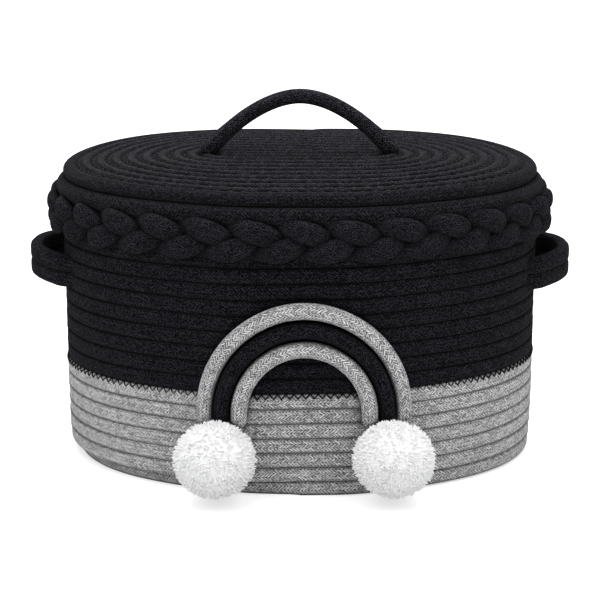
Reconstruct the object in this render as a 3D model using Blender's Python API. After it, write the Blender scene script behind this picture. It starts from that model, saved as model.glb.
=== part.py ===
"""Oval rope basket with a braided lid, a rope rainbow and two pom-poms, in metres, +Z up.

The basket is sewn from coiled cotton rope. Its origin is on the floor under the middle of the oval
base, +X runs along the oval and the rainbow faces -Y. The lid lifts off along +Z, and the rope
handle on the lid bends over about the line along X through its two sewn ends.
"""

import math

import bmesh
import bpy
from mathutils import Vector

# Rope and clearances
GAP = 0.0003                 # gap between pieces that touch
SEAM = 0.0005                # gap between the rows of a coil, where they are sewn
STRAND_WIDTH = 0.0070        # braid strand, along the height of the braid
STRAND_DEPTH = 0.0037        # braid strand, square to the wall
STRAP_ROPE = 0.0088          # rope of the side handles
BOW_ROPE = 0.0094            # rope of the rainbow
HANDLE_ROPE = 0.0090         # rope of the lid's handle

# Oval of the wall: two half circles joined by sides that bow out in the middle
SIDE_HALF = 0.042            # half the distance between the middles of the half circles
FRONT_BOW = 0.12             # how much of its depth the oval loses away from its middle, in front
BACK_BOW = 0.05              # the same at the back
SIDE_FLAT = 0.021            # how far from the middle the loss begins
SIDE_FALL = 0.040            # how much further most of it is lost
WALL_OUTER = 0.101           # half the depth across the middle, outside
GREY_PITCH = 0.0088          # height of a grey row
BLACK_PITCH = 0.0092         # height of a black row
GREY_TURNS = 6.5             # turns of grey rope, from the front to the back
BLACK_TURNS = 11.0           # turns of black rope, from the back to the back
LEVEL_TURN = 17.0            # where the last half turn stops climbing and tucks inside

# Base
BASE_PITCH = 0.0086          # distance from the base's last turn to the wall's first one

# Lid
LID_SEAM = 0.0006            # gap between the lid's rows
LID_PITCH = 0.0091           # distance between the rows on top of the lid
LID_ROWS = 11                # rows on top, the edge row included
LID_DOME = 0.006             # rise of the middle over the edge row
SKIRT_OUT = 0.0028           # how far the skirt row's middle stands outside the wall rope's middle
SKIRT_UP = 0.0081            # how far the skirt row's middle lies above the wall's last row
EDGE_IN = 0.0041             # how far the edge row's middle lies inside the skirt row's middle
EDGE_UP = 0.0082             # how far the edge row's middle lies above the skirt row's middle

# Braid round the edge of the lid
BRAID_STRANDS = 3
BRAID_PERIODS = 10           # waves of each strand round the lid
BRAID_MIDDLE = 0.1523        # height of the braid's middle
BRAID_SWING = 0.0090         # how far a strand's middle swings up and down
BRAID_WEAVE = 0.0028         # how far a strand's middle swings in and out
BRAID_CLEAR = 0.0004         # clearance from the wall to the braid, so that the lid lifts off

# Handle on the lid
BOW_HALF = 0.0505            # half the distance between its two ends
BOW_RISE = 0.0272            # rise of its middle over its ends
BOW_POWER = 1.85             # how round its shoulders are, 2 is a parabola
BOW_SINK = 0.0003            # how far its ends sink into the seam between two rows of the lid

# Side handles, each two ropes high
STRAP_LEFT_UP = 0.0015       # how much higher the left one is
STRAP_MIDDLE = 0.1146        # height of the seam between the two ropes
STRAP_PITCH = 0.0092         # height of one rope
STRAP_REACH = 0.0130         # finger room between the wall and the handle
STRAP_SINK_LEFT = 0.0001     # how far its ends sink in past the outer faces of the wall's rows
STRAP_SINK_RIGHT = 0.0009    # the same at the right, where its ropes lie in seams between rows
STRAP_AIM = 5.0              # degrees from +X to the handle's middle, seen from the round end's centre
STRAP_SPREAD = 23.0          # degrees from the handle's middle to either end

# Rainbow sewn on the front
RAINBOW_CLEAR = 0.0005       # its gap to the wall
RAINBOW_X = 0.0025           # its middle, a little right of the basket's
RAINBOW_SPRING = 0.050       # height where the legs begin to curve
RAINBOW_FOOT = 0.0477        # height of the ends of the legs
RAINBOW_HALF = 0.0568        # half width of the outer rope's middle line
RAINBOW_RISE = 0.0617        # height of the outer rope's middle line over the spring
RAINBOW_STEP_X = 0.0098      # how much narrower each inner rope is
RAINBOW_STEP_Z = 0.0111      # how much lower each inner rope is

# Pom-poms
POM_RADIUS = 0.022
POM_LEFT_IN = 0.0053         # how far each is inside the outer rope's end
POM_RIGHT_IN = 0.0066
POM_HEIGHT = 0.0296          # height of its middle

# Colours
BLACK = (0.013, 0.013, 0.017, 1.0)
GREY = (0.30, 0.30, 0.31, 1.0)
LIGHT_GREY = (0.41, 0.41, 0.42, 1.0)
WHITE = (0.86, 0.86, 0.86, 1.0)
COTTON_ROUGHNESS = 0.9

# Worked out from the values above
LOOP = 24                    # points in one turn of a coil
FLAT = math.cos(math.pi / 6)  # a six-sided rope's flats, as a share of its radius
GREY_ROPE = GREY_PITCH - SEAM
BLACK_ROPE = BLACK_PITCH - SEAM
LID_ROPE = LID_PITCH - LID_SEAM
WALL_MIDDLE = WALL_OUTER - BLACK_ROPE / 2 * FLAT
FIRST_MIDDLE = GREY_ROPE / 2
RIM_MIDDLE = FIRST_MIDDLE + GREY_PITCH * GREY_TURNS + BLACK_PITCH * (LEVEL_TURN - GREY_TURNS)
SKIRT_W = WALL_MIDDLE + SKIRT_OUT
SKIRT_Z = RIM_MIDDLE + SKIRT_UP
EDGE_W = SKIRT_W - EDGE_IN
EDGE_Z = SKIRT_Z + EDGE_UP
CENTRE_W = EDGE_W - LID_PITCH * (LID_ROWS - 1)
LID_TOP = EDGE_Z + LID_DOME + LID_ROPE / 2 * FLAT
CROSS_STEP = 10              # step where a row of the lid begins to cross to the next
SKIRT_STEP = 8               # step where the edge row begins to drop to the skirt row
BRAID_W = WALL_OUTER + BRAID_CLEAR + STRAND_DEPTH / 2 + BRAID_WEAVE
POM_LEFT_X = RAINBOW_X - RAINBOW_HALF + POM_LEFT_IN
POM_RIGHT_X = RAINBOW_X + RAINBOW_HALF - POM_RIGHT_IN


def clear_scene():
    for obj in list(bpy.data.objects):
        bpy.data.objects.remove(obj, do_unlink=True)


def new_collection(name):
    collection = bpy.data.collections.new(name)
    bpy.context.scene.collection.children.link(collection)
    return collection


def cotton(name, colour):
    material = bpy.data.materials.new(name)
    material.use_nodes = True
    shader = material.node_tree.nodes["Principled BSDF"]
    shader.inputs["Base Color"].default_value = colour
    shader.inputs["Roughness"].default_value = COTTON_ROUGHNESS
    shader.inputs["Metallic"].default_value = 0.0
    return material


def bow_loss(x, y):
    """How much of its depth the oval has lost there, as a share."""
    past = max(abs(x) - SIDE_FLAT, 0)
    bow = FRONT_BOW if y < 0 else BACK_BOW
    return bow * (1 - math.exp(-(past / SIDE_FALL) ** 2))


def bowed(x, y):
    """The point drawn towards the X axis as the oval's sides are, away from their middle."""
    return x, y * (1 - bow_loss(x, y))


def round_end(side, w, angle):
    """Point on the round end at +X (side 1) or -X (side -1), at an angle in radians from +X."""
    return bowed(side * SIDE_HALF + w * math.cos(angle), w * math.sin(angle))


def oval(w, step):
    """Point of the oval of half depth w, at a step of LOOP from the front's middle.

    The steps go right, round the right end, left along the back and round the left end. Each round
    end takes eight steps, and each side takes four.
    """
    step = step % LOOP
    if step <= 2:
        return bowed(SIDE_HALF * step / 2, -w)
    if step < 10:
        return round_end(1, w, math.pi * (step - 6) / 8)
    if step <= 14:
        return bowed(SIDE_HALF * (12 - step) / 2, w)
    if step < 22:
        return round_end(-1, w, math.pi * (step - 10) / 8)
    return bowed(SIDE_HALF * (step - LOOP) / 2, -w)


def closeness(w, step):
    """Distance between two rows there, as a share of their distance at the front's middle."""
    here = Vector(oval(w, step))
    out = Vector(oval(w + GAP, step)) - here
    along = (Vector(oval(w, step + 0.1)) - Vector(oval(w, step - 0.1))).normalized()
    return abs(out.cross(along)) / GAP


def oval_along(w, share):
    """Point of the same oval at a share of its length, from the back's middle round the left end."""
    arc = math.pi * w
    run = share * (4 * SIDE_HALF + 2 * arc)
    if run <= SIDE_HALF:
        return bowed(-run, w)
    run -= SIDE_HALF
    if run <= arc:
        return round_end(-1, w, math.pi / 2 + run / w)
    run -= arc
    if run <= 2 * SIDE_HALF:
        return bowed(run - SIDE_HALF, -w)
    run -= 2 * SIDE_HALF
    if run <= arc:
        return round_end(1, w, run / w - math.pi / 2)
    return bowed(SIDE_HALF - (run - arc), w)


def wall_face(angle):
    """Distance from a round end's centre to the wall's outer face, flat between the coil's points."""
    step = math.pi / 8
    return WALL_OUTER * math.cos(step / 2) / math.cos(angle % step - step / 2)


def front_face(x):
    """Y of the wall's outer face at the front."""
    past = max(abs(x) - SIDE_HALF, 0)
    return bowed(x, -math.sqrt(WALL_OUTER ** 2 - past ** 2))[1]


def tube(name, points, diameter, material, collection, sizes=None, sides=6, upright=True, tilt=0.0):
    """A rope through the points. sizes are shares of the diameter, one for each point."""
    curve = bpy.data.curves.new(name, "CURVE")
    curve.dimensions = "3D"
    curve.twist_mode = "Z_UP" if upright else "MINIMUM"
    curve.use_fill_caps = True
    curve.bevel_depth = diameter / 2
    curve.bevel_resolution = sides // 2 - 2
    spline = curve.splines.new("POLY")
    spline.points.add(len(points) - 1)
    for index, (point, place) in enumerate(zip(spline.points, points)):
        point.co = (*place, 1.0)
        point.radius = sizes[index] if sizes else 1.0
        point.tilt = tilt
    curve.materials.append(material)
    obj = bpy.data.objects.new(name, curve)
    collection.objects.link(obj)
    return obj


def least_gap(points, radii, apart):
    """Least gap of a coil to itself, from each stretch to the points at least so many steps on."""
    places = [Vector(point) for point in points]
    least = math.inf
    for i in range(len(places) - 1):
        along = places[i + 1] - places[i]
        for j in range(i + apart, min(i + apart + 2 * LOOP, len(places))):
            away = places[j] - places[i]
            share = min(max(away.dot(along) / along.length_squared, 0), 1)
            room = (away - share * along).length
            radius = radii[i] + share * (radii[i + 1] - radii[i])
            least = min(least, room - radius - radii[j])
    return least


def wall_height(turn):
    """Height of the wall rope's middle after so many turns from the front."""
    grey = min(turn, GREY_TURNS)
    black = max(min(turn, LEVEL_TURN) - GREY_TURNS, 0)
    return FIRST_MIDDLE + GREY_PITCH * grey + BLACK_PITCH * black


def wall_point(turn):
    """Middle of the wall rope. Past the level turn it stays level and tucks inside the turn below."""
    w = WALL_MIDDLE
    if turn > LEVEL_TURN:
        over = wall_height(turn) - wall_height(turn - 1)
        w -= math.sqrt((BLACK_PITCH + GAP) ** 2 - over ** 2) / closeness(w, turn * LOOP)
    return *oval(w, turn * LOOP), wall_height(turn)


def make_wall(name, first, last, rope, material, collection):
    """One coil of the wall. Its rope stands on an edge, so that a flat faces out."""
    steps = round((last - first) * LOOP)
    points = [Vector(wall_point(first + step / LOOP)) for step in range(steps + 1)]
    # The base, the grey rope and the black rope follow on, so each end draws back by half a gap.
    points[0] += (points[1] - points[0]).normalized() * GAP / 2
    points[-1] += (points[-2] - points[-1]).normalized() * GAP / 2
    radii = [rope / 2] * len(points)
    print(name, "least gap to itself", round(1000 * least_gap(points, radii, LOOP - 1), 2), "mm")
    return tube(name, points, rope, material, collection, tilt=math.pi / 6)


def base_outline():
    """Middle line of the base's last turn, which draws in as the wall's first turn comes down."""
    places = []
    for step in range(LOOP):
        turn = step / LOOP
        climb = wall_height(turn) - wall_height(0)
        inward = math.sqrt(BASE_PITCH ** 2 - climb ** 2) / closeness(WALL_MIDDLE, step)
        places.append(oval(WALL_MIDDLE - inward, step))
    # The turn ends at the middle of the front, face to face with the start of the wall.
    end_x = -GREY_ROPE / 2 - GAP / 2
    places.append((end_x, places[-1][1]))
    places.append((end_x, places[0][1]))
    return places


def make_base(material, collection):
    """The coiled base as one flat disc with a rope's round edge."""
    curve = bpy.data.curves.new("base_coil", "CURVE")
    curve.dimensions = "2D"
    curve.fill_mode = "BOTH"
    curve.bevel_depth = GREY_ROPE / 2
    curve.bevel_resolution = 2
    places = base_outline()
    spline = curve.splines.new("POLY")
    spline.points.add(len(places) - 1)
    for point, place in zip(spline.points, places):
        point.co = (*place, 0.0, 1.0)
    spline.use_cyclic_u = True
    curve.materials.append(material)
    obj = bpy.data.objects.new("base_coil", curve)
    obj.location.z = FIRST_MIDDLE
    collection.objects.link(obj)
    return obj


def lid_row(row):
    """Oval radius and height of a lid row's middle. Row 0 is the innermost, the last is the skirt."""
    top = min(row, LID_ROWS - 1)
    w = CENTRE_W + LID_PITCH * top
    z = EDGE_Z + LID_DOME * (1 - (w / EDGE_W) ** 2)
    skirt = row - top
    return w + EDGE_IN * skirt, z - EDGE_UP * skirt


def lid_point(count):
    """Middle of the lid rope after so many steps. Each row crosses to the next along the back.

    The edge row drops to the skirt two steps earlier, clear of the row that comes up inside it.
    """
    step = count % LOOP
    row = count // LOOP
    crossing = SKIRT_STEP if row == LID_ROWS - 1 else CROSS_STEP
    row += min(max((step - crossing) / 4, 0), 1)
    w, z = lid_row(row)
    return *oval(w, step), z


def make_lid(material, collection):
    # The rope begins with a cut to a point, which fills the wedge in the middle of the coil.
    points = []
    sizes = []
    for share in (0.25, 0.55, 0.8):
        points.append((SIDE_HALF * (1 - 2 * share), LID_PITCH / 2 * share, lid_row(0)[1]))
        sizes.append(share + 0.06)
    first_step = CROSS_STEP + 4 - LOOP
    last_step = LID_ROWS * LOOP + SKIRT_STEP
    for count in range(first_step, last_step + 1):
        points.append(lid_point(count))
        sizes.append(closeness(lid_row(count // LOOP)[0], count))
    radii = [LID_ROPE / 2 * size for size in sizes]
    print("lid_coil least gap to itself", round(1000 * least_gap(points, radii, 8), 2), "mm")
    return tube("lid_coil", points, LID_ROPE, material, collection, sizes=sizes)


def strand_section(guides):
    """Six-sided section of a braid strand, taller than it is deep."""
    curve = bpy.data.curves.new("strand_section", "CURVE")
    curve.dimensions = "2D"
    spline = curve.splines.new("POLY")
    sides = 6
    spline.points.add(sides - 1)
    for index, point in enumerate(spline.points):
        angle = 2 * math.pi * index / sides
        point.co = (STRAND_DEPTH / 2 * math.sin(angle), STRAND_WIDTH / 2 * math.cos(angle), 0, 1)
    spline.use_cyclic_u = True
    obj = bpy.data.objects.new("strand_section", curve)
    obj.hide_render = True
    obj.display_type = "WIRE"
    guides.objects.link(obj)
    return obj


def make_strand(index, section, material, collection):
    """One strand of the braid. Its two ends meet at the middle of the back."""
    samples = 12 * BRAID_PERIODS
    length = 4 * SIDE_HALF + 2 * math.pi * BRAID_W
    margin = GAP / length
    points = []
    sizes = []
    for sample in range(samples + 1):
        share = min(max(sample / samples, margin), 1 - margin)
        wave = 2 * math.pi * (BRAID_PERIODS * share + index / BRAID_STRANDS)
        x, y = oval_along(BRAID_W - BRAID_WEAVE * math.sin(2 * wave), share)
        points.append((x, y, BRAID_MIDDLE + BRAID_SWING * math.sin(wave)))
        sizes.append(1 - bow_loss(x, y) * (y / BRAID_W) ** 2)
    name = "braid_strand_" + "abc"[index]
    obj = tube(name, points, STRAND_DEPTH, material, collection, sizes=sizes)
    obj.data.bevel_mode = "OBJECT"
    obj.data.bevel_object = section
    return obj


def make_lid_handle(material, collection):
    """Arched rope on the lid. Its round ends turn against the lid without touching it."""
    samples = 20
    points = []
    for sample in range(samples + 1):
        x = BOW_HALF * math.sin(math.pi * (sample / samples - 0.5))
        points.append(Vector((x, 0.0, BOW_RISE * (1 - abs(x / BOW_HALF) ** BOW_POWER))))
    sizes = [1.0] * len(points)
    first_out = (points[0] - points[1]).normalized()
    last_out = (points[-1] - points[-2]).normalized()
    first, last = points[0], points[-1]
    for degrees in (35, 62, 82):
        reach = HANDLE_ROPE / 2 * math.sin(math.radians(degrees))
        size = math.cos(math.radians(degrees))
        points = [first + first_out * reach] + points + [last + last_out * reach]
        sizes = [size] + sizes + [size]
    obj = tube("lid_handle", points, HANDLE_ROPE, material, collection, sizes, sides=8, upright=False)
    obj.location.z = LID_TOP + GAP - BOW_SINK + HANDLE_ROPE / 2
    return obj


def make_strap_rope(name, side, sink, z, material, collection):
    """One rope of a side handle, sewn to the wall at both ends. Side is 1 at +X and -1 at -X."""
    samples = 16
    points = []
    for sample in range(samples + 1):
        share = 2 * sample / samples - 1
        reach = STRAP_REACH * (1 - abs(share) ** 2.5) ** 1.5
        angle = math.radians(STRAP_AIM + STRAP_SPREAD * share)
        x, y = round_end(1, wall_face(angle) + GAP - sink + STRAP_ROPE / 2 + reach, angle)
        points.append((side * x, y, z))
    return tube(name, points, STRAP_ROPE, material, collection, sides=8)


def make_rainbow_rope(name, index, material, collection):
    """One rope of the rainbow, laid on the wall. Index 0 is the outer one."""
    half = RAINBOW_HALF - RAINBOW_STEP_X * index
    rise = RAINBOW_RISE - RAINBOW_STEP_Z * index
    samples = 24
    places = [(-half, RAINBOW_FOOT)]
    for sample in range(samples + 1):
        angle = math.pi * (1 - sample / samples)
        places.append((half * math.cos(angle), RAINBOW_SPRING + rise * math.sin(angle)))
    places.append((half, RAINBOW_FOOT))
    points = []
    for x, z in places:
        x += RAINBOW_X
        points.append((x, front_face(x) - RAINBOW_CLEAR - BOW_ROPE / 2, z))
    return tube(name, points, BOW_ROPE, material, collection, sides=8, upright=False)


def make_pom_pom(name, x, material, collection):
    """Ball of cut yarn, sewn under the ends of the rainbow's ropes."""
    mesh = bpy.data.meshes.new(name)
    ball = bmesh.new()
    bmesh.ops.create_uvsphere(ball, u_segments=20, v_segments=12, radius=POM_RADIUS)
    ball.to_mesh(mesh)
    ball.free()
    mesh.shade_smooth()
    mesh.materials.append(material)
    obj = bpy.data.objects.new(name, mesh)
    # It touches the ends of two ropes, which lie above it and to either side, or the wall.
    above = RAINBOW_FOOT - POM_HEIGHT
    beside = RAINBOW_STEP_X / 3
    depth = math.sqrt((POM_RADIUS + GAP) ** 2 - above ** 2 - beside ** 2)
    middle_y = front_face(x) - RAINBOW_CLEAR - BOW_ROPE - depth
    for share in (0.1, 0.2, 0.3, 0.4):
        reach = (POM_RADIUS + GAP) * share
        clear = (POM_RADIUS + GAP) * math.sqrt(1 - share ** 2)
        middle_y = min(middle_y, front_face(abs(x) - reach) - clear)
    obj.location = (x, middle_y, POM_HEIGHT)
    collection.objects.link(obj)
    return obj


def main():
    clear_scene()
    parts = new_collection("knitting_basket")
    guides = new_collection("guides")
    guides.hide_render = True
    grey = cotton("grey_cotton", GREY)
    black = cotton("black_cotton", BLACK)

    make_base(grey, parts)
    make_wall("wall_coil_grey", 0.0, GREY_TURNS, GREY_ROPE, grey, parts)
    make_wall("wall_coil_black", GREY_TURNS, GREY_TURNS + BLACK_TURNS, BLACK_ROPE, black, parts)
    for side_name, side, sink in (("left", -1, STRAP_SINK_LEFT), ("right", 1, STRAP_SINK_RIGHT)):
        for row_name, half in (("lower", -0.5), ("upper", 0.5)):
            name = f"side_handle_{side_name}_{row_name}_rope"
            z = STRAP_MIDDLE + half * STRAP_PITCH + (STRAP_LEFT_UP if side < 0 else 0)
            make_strap_rope(name, side, sink, z, black, parts)
    make_rainbow_rope("rainbow_outer_rope", 0, cotton("rainbow_outer", LIGHT_GREY), parts)
    make_rainbow_rope("rainbow_middle_rope", 1, cotton("rainbow_middle", BLACK), parts)
    make_rainbow_rope("rainbow_inner_rope", 2, cotton("rainbow_inner", LIGHT_GREY), parts)
    yarn = cotton("white_yarn", WHITE)
    make_pom_pom("pom_pom_left", POM_LEFT_X, yarn, parts)
    make_pom_pom("pom_pom_right", POM_RIGHT_X, yarn, parts)

    # Everything on the lid hangs from one empty, which slides up along Z.
    lid_slide = bpy.data.objects.new("lid_slide", None)
    parts.objects.link(lid_slide)
    lid_pieces = [make_lid(black, parts)]
    section = strand_section(guides)
    for index in range(BRAID_STRANDS):
        lid_pieces.append(make_strand(index, section, black, parts))
    lid_pieces.append(make_lid_handle(black, parts))
    for piece in lid_pieces:
        piece.parent = lid_slide


main()
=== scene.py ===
"""Looks of the oval rope basket: sewn cotton rope, a plump braid, thread, yarn and soft light."""

import math

import bmesh
import bpy
import numpy as np
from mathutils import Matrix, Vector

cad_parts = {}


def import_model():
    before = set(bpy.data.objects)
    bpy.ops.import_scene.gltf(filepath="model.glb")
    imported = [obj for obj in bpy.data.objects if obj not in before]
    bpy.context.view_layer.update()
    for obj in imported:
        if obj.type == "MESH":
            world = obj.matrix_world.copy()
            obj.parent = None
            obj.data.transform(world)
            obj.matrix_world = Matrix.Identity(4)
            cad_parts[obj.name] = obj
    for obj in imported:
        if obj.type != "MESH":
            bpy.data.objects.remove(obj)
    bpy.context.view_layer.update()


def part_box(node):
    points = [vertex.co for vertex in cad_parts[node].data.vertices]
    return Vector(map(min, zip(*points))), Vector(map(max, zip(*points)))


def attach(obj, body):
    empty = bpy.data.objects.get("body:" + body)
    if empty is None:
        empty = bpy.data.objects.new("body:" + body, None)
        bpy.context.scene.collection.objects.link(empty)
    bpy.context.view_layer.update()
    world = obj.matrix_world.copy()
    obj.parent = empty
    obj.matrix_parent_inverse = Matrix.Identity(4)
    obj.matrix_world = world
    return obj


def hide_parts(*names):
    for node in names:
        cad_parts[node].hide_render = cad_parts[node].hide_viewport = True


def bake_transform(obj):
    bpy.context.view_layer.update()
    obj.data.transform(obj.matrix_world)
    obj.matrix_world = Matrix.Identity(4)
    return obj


# Sizes of the wall in metres, and its turns
GREY_PITCH = 0.0088     # height of a grey row
BLACK_PITCH = 0.0092    # height of a black row
GREY_TURNS = 6.5        # turns of grey rope
BLACK_TURNS = 11.0      # turns of black rope
LEVEL_TURN = 17.0       # where the last half turn stops climbing and tucks inside
SIDE_HALF = 0.042       # half the distance between the oval's two half circles
FRONT_BOW = 0.12        # share of its depth that the oval loses away from its middle, in front
BACK_BOW = 0.05         # the same at the back
SIDE_FLAT = 0.021       # how far from the middle the loss begins
SIDE_FALL = 0.040       # how much further most of it is lost
WALL_OUTER = 0.101      # half the depth of the oval across its middle
WALL_MIDDLE = 0.09723   # the same for the wall rope's middle line
FIRST_MIDDLE = 0.00415  # height of the first row's middle

# Sizes of the lid and its braid
LID_PITCH = 0.0091     # distance between two rows of the lid
LID_ROWS = 11          # rows on top, the edge row included
LID_DOME = 0.0038      # how much higher the lid's middle is than its edge
SKIRT_OUT = 0.0028     # how far the skirt row stands outside the wall rope, middle to middle
SKIRT_UP = 0.0081      # how far it lies above the middle of the wall's last row
EDGE_IN = 0.0041       # how far inside the skirt row the edge row lies
EDGE_UP = 0.0079       # how far above it
BRAID_PERIODS = 10     # times that a strand goes up and down
BRAID_MIDDLE = 0.1523  # height of the solid braid's middle

# Sizes of the lid's handle
BOW_HALF = 0.0505     # half the distance between its ends
BOW_RISE = 0.0278     # how far it rises over its ends
BOW_POWER = 1.85      # how square its arch is
BOW_FOOT = 0.18847    # height of its middle line at its ends
HANDLE_ROPE = 0.0090  # thickness of its rope

# Sizes of the side handles
STRAP_MIDDLE = 0.1146      # height between the two ropes of the right one
STRAP_PITCH = 0.0092       # distance between the two ropes
STRAP_ROPE = 0.0088        # thickness of each before it is flattened
STRAP_REACH = 0.0130       # how far the loops stand out from the wall
STRAP_AIM = 5.0            # degrees from the end of the oval to their middle, towards the back
STRAP_SPREAD = 23.0        # degrees from their middle to each foot
STRAP_LEFT_UP = 0.0015     # how much higher the left one is
STRAP_LIFT = 0.0020        # how far the loops rise away from the wall
STRAP_HALF_DEPTH = 0.0038  # half the depth of their flattened rope

# Sizes of the rainbow
RAINBOW_X = 0.0025       # how far right of the middle it stands
RAINBOW_SPRING = 0.050   # height where the legs end and the arches begin
RAINBOW_FOOT = 0.0477    # height of the legs' feet
RAINBOW_HALF = 0.0568    # half the width of the outer arch
RAINBOW_RISE = 0.0617    # how far the outer arch rises over its legs
RAINBOW_STEP_X = 0.0098  # how much less the next arch's half width is
RAINBOW_STEP_Z = 0.0111  # how much less it rises
RAINBOW_ROPE = 0.0094    # thickness of its rope

# Points in one turn of a coil, and finer steps between them
LOOP = 24
FINE = 8

# Steps of a turn, from the middle of the front round the right end
RIGHT_STARTS = 2
RIGHT_MIDDLE = 6
RIGHT_STOPS = 10
BACK_MIDDLE = 12
LEFT_STARTS = 14
LEFT_STOPS = 22
ROUND_STEPS = 8     # steps in a half circle
STRAIGHT_STEPS = 2  # steps in half a straight side

# Camera, fitted to the rows, the rim and the lid
CAMERA_BACK = 1.1025
CAMERA_HEIGHT = 0.3839
CAMERA_DOWN = 14.92  # degrees
CAMERA_LENS = 111.3  # millimetres
CAMERA_SENSOR = 36   # millimetres

# Lamps: name, place, the point that each faces, length of their sides, and power in watts
LAMPS = (
    ("key_left", (-1.3, -1.6, 2.1), (0, 0, 0.08), 1.2, 19),
    ("key_right", (1.3, -1.6, 2.1), (0, 0, 0.08), 1.2, 19),
    ("top", (0, 0.3, 1.8), (0, 0, 0.1), 1.6, 40),
)
WORLD_LIGHT = 0.58  # strength of the light from all round
FLOOR_REACH = 6.0
FLOOR_GREY = 0.75
FLOOR_GLOW = 0.55   # makes the lit floor white behind the object

# Colours
BLACK_DARK = (0.0006, 0.0006, 0.0011)
BLACK_LIGHT = (0.0290, 0.0285, 0.0370)
# Painted light: the same black rope's light colour, made lighter on the lid, its handle and the braid for the
# light from above
LID_PAINTED_LIGHT = (0.0490, 0.0484, 0.0615)
BRAID_PAINTED_LIGHT = (0.0400, 0.0395, 0.0505)
GREY_DARK = (0.012, 0.012, 0.013)
GREY_LIGHT = (0.84, 0.84, 0.845)
PALE_DARK = (0.06, 0.06, 0.062)
PALE_LIGHT = (0.86, 0.86, 0.865)
YARN_WHITE = (0.86, 0.86, 0.865)
THREAD_BLACK = (0.003, 0.003, 0.0035)
THREAD_GREY = (0.27, 0.27, 0.274)
# Black thread painted lighter, as a painted highlight along the lid's seams
THREAD_PAINTED_HIGHLIGHT = (0.035, 0.035, 0.040)
WHITE = (1, 1, 1, 1)

RIM_MIDDLE = FIRST_MIDDLE + GREY_PITCH * GREY_TURNS + BLACK_PITCH * (LEVEL_TURN - GREY_TURNS)
EDGE_W = WALL_MIDDLE + SKIRT_OUT - EDGE_IN
EDGE_Z = RIM_MIDDLE + SKIRT_UP + EDGE_UP
CENTRE_W = EDGE_W - LID_PITCH * (LID_ROWS - 1)
UP = np.array([0.0, 0.0, 1.0])
BACK = np.array([0.0, 1.0, 0.0])


# Small tools for lines

NOISE_WAVES = 6
NOISE_SUM = 3.2  # brings the sum of the waves to about one
SECTION_POINTS = 1441


def smooth(share):
    share = np.clip(share, 0, 1)
    return share * share * (3 - 2 * share)


def unit(vectors):
    return vectors / np.linalg.norm(vectors, axis=-1, keepdims=True)


def tangents(points):
    return unit(np.gradient(points, axis=0))


def lengths(points):
    """Distance run along a line at each of its points."""
    steps = np.linalg.norm(np.diff(points, axis=0), axis=1)
    return np.concatenate([[0.0], np.cumsum(steps)])


def resample(points, spacing):
    """The same smooth line with points this far apart."""
    run = lengths(points)
    count = max(int(run[-1] / spacing), 4)
    along = np.linspace(0, run[-1], count + 1)
    return np.stack([np.interp(along, run, points[:, k]) for k in range(3)], axis=1)


def soft_noise(values, seed):
    """A smooth wave between about -1 and 1 with no period that shows."""
    rng = np.random.default_rng(seed)
    total = np.zeros_like(values)
    for _ in range(NOISE_WAVES):
        total += np.sin(values * rng.uniform(0.5, 2.4) + rng.uniform(0, 2 * math.pi))
    return total / NOISE_SUM


def bow_loss(x, y):
    """How much of its depth the oval has lost there, as a share."""
    past = np.maximum(np.abs(x) - SIDE_FLAT, 0)
    return np.where(y < 0, FRONT_BOW, BACK_BOW) * (1 - np.exp(-(past / SIDE_FALL) ** 2))


def stadium(w, step):
    """Points and outward directions of two half circles of radius w with straight sides between."""
    step = np.mod(np.asarray(step, float), LOOP)
    w = w + np.zeros_like(step)
    right = (step > RIGHT_STARTS) & (step < RIGHT_STOPS)
    left = (step > LEFT_STARTS) & (step < LEFT_STOPS)
    back = (step >= RIGHT_STOPS) & (step <= LEFT_STARTS)
    turned = step - np.where(right, RIGHT_MIDDLE, RIGHT_STOPS)
    angle = np.where(right | left, turned / ROUND_STEPS, -0.5) * math.pi
    angle = np.where(back, math.pi / 2, angle)
    front_step = np.where(step > BACK_MIDDLE, step - LOOP, step)
    side_step = np.where(back, BACK_MIDDLE - step, front_step)
    x = SIDE_HALF * side_step / STRAIGHT_STEPS
    x = np.where(right, SIDE_HALF, np.where(left, -SIDE_HALF, x))
    out = np.stack([np.cos(angle), np.sin(angle), np.zeros_like(angle)], axis=-1)
    middle = np.stack([x, np.zeros_like(x), np.zeros_like(x)], axis=-1)
    return middle + out * w[..., None], out


def oval_rows(w, step):
    """Points and outward directions of the oval of half depth w, and how close its rows lie."""
    places, outs = stadium(w, step)
    x, y = places[..., 0], places[..., 1]
    left = 1 - bow_loss(x, y)
    tiny = 1e-4
    slope = (bow_loss(x - tiny, y) - bow_loss(x + tiny, y)) / (2 * tiny)
    level = np.zeros_like(x)
    out_x, out_y = outs[..., 0], outs[..., 1]
    moved = np.stack([out_x, y * slope * out_x + left * out_y, level], axis=-1)
    normal = unit(np.stack([out_x - y * slope / left * out_y, out_y / left, level], axis=-1))
    drawn = np.stack([x, y * left, level], axis=-1)
    return drawn, normal, np.sum(moved * normal, axis=-1)


def oval(w, step):
    return oval_rows(w, step)[:2]


def oval_along(w, share):
    """The same for shares of the oval's length, from the back's middle round the left end."""
    arc = math.pi * w
    run = np.mod(share, 1.0) * (4 * SIDE_HALF + 2 * arc)
    left_starts = SIDE_HALF
    left_stops = left_starts + arc
    right_starts = left_stops + 2 * SIDE_HALF
    right_stops = right_starts + arc
    stretches = (
        (left_starts, left_stops, LEFT_STARTS, ROUND_STEPS, arc),
        (left_stops, right_starts, LEFT_STOPS, STRAIGHT_STEPS, SIDE_HALF),
        (right_starts, right_stops, RIGHT_STARTS, ROUND_STEPS, arc),
        (right_stops, math.inf, RIGHT_STOPS, STRAIGHT_STEPS, SIDE_HALF),
    )
    step = BACK_MIDDLE + STRAIGHT_STEPS * run / SIDE_HALF
    for start, stop, first_step, steps, length in stretches:
        here = (run > start) & (run <= stop)
        step = np.where(here, first_step + steps * (run - start) / length, step)
    return oval(w, step)


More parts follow.
